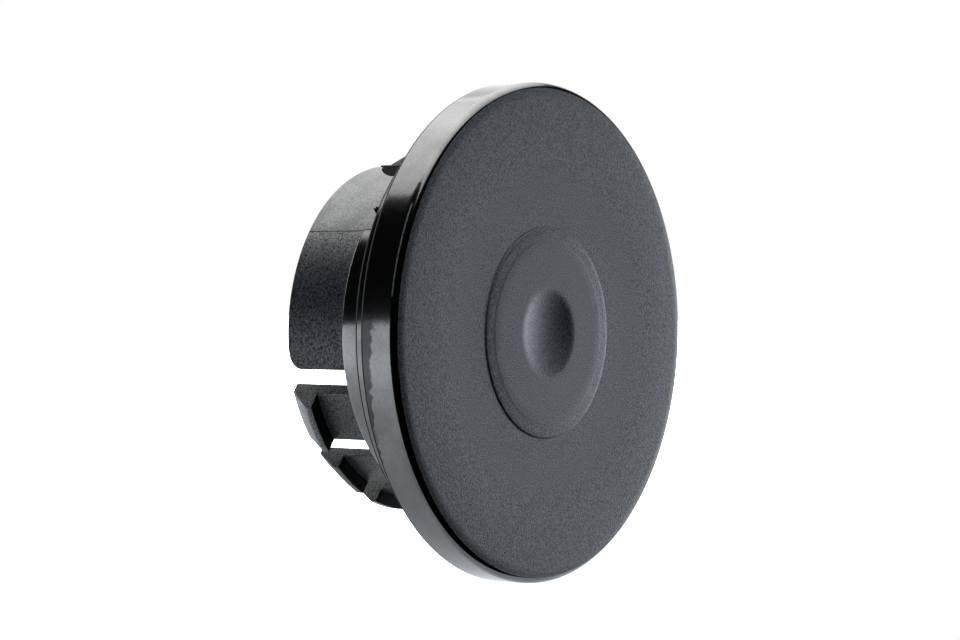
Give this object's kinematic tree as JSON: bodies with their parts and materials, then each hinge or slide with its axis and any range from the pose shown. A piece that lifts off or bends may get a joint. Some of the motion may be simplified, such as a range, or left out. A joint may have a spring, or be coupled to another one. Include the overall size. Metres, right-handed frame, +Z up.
{
  "type": "camshaft cover plug",
  "caption": "Round black plastic cover plug with a dimpled pad on its face and a hollow snap-in spigot with hooked fingers, which closes a camshaft bore in a cylinder head.",
  "frame": {"origin": "on the plug's axis, in the plane of the seat behind the flange", "axes": "+Y along the axis from the face to the spigot's open end, so the face looks along -Y; +Z up as the plug stands in its bore"},
  "size_m": [0.06, 0.0239, 0.06],
  "materials": {
    "plastic": "fine matte grain on the face and spigot, smooth rim and collar"
  },
  "bodies": {
    "root": {"plug": "plastic"}
  },
  "joints": []
}
